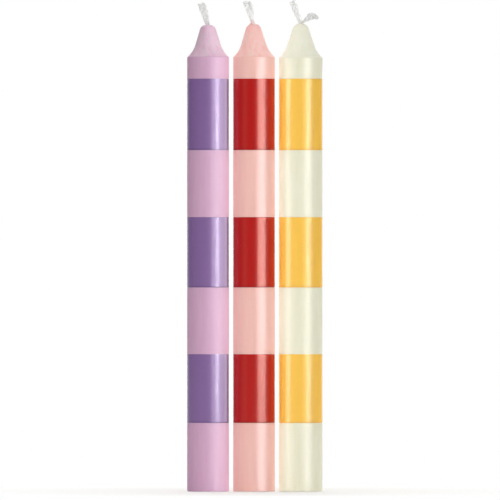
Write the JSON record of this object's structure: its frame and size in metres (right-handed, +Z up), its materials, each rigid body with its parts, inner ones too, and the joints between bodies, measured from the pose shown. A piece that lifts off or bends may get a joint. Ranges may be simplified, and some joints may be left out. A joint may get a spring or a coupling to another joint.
{
  "type": "striped dinner candles",
  "caption": "Row of free-standing dinner candles, each with a braided cotton wick, a turned nose, a pale wax coat and glossy coloured bands.",
  "frame": {"origin": "middle of the row at the plane of the butts, on the surface the candles stand on", "axes": "+Z up along the candles, +X along the row from the lavender candle to the ivory one, -Y the side the wicks are seen broadside from"},
  "size_m": [0.059, 0.019, 0.2139],
  "materials": {
    "wick": "matte",
    "core_wax": "matte",
    "lavender_wax": "satin",
    "purple_gloss_wax": "gloss",
    "pink_wax": "satin",
    "red_gloss_wax": "gloss",
    "ivory_wax": "satin",
    "yellow_gloss_wax": "gloss"
  },
  "bodies": {
    "pink_candle": {"pink_wick": "wick", "pink_core": "core_wax", "pink_coat": "pink_wax", "pink_band_low": "red_gloss_wax", "pink_band_middle": "red_gloss_wax", "pink_band_high": "red_gloss_wax"},
    "lavender_candle": {"lavender_wick": "wick", "lavender_core": "core_wax", "lavender_coat": "lavender_wax", "lavender_band_low": "purple_gloss_wax", "lavender_band_middle": "purple_gloss_wax", "lavender_band_high": "purple_gloss_wax"},
    "ivory_candle": {"ivory_wick": "wick", "ivory_core": "core_wax", "ivory_coat": "ivory_wax", "ivory_band_low": "yellow_gloss_wax", "ivory_band_middle": "yellow_gloss_wax", "ivory_band_high": "yellow_gloss_wax"}
  },
  "joints": [
    {"name": "lavender_lift", "type": "slide", "parent": "pink_candle", "child": "lavender_candle", "axis": [0, 0, 1], "range_m": [0, 0.22]},
    {"name": "ivory_lift", "type": "slide", "parent": "pink_candle", "child": "ivory_candle", "axis": [0, 0, 1], "range_m": [0, 0.22]}
  ]
}
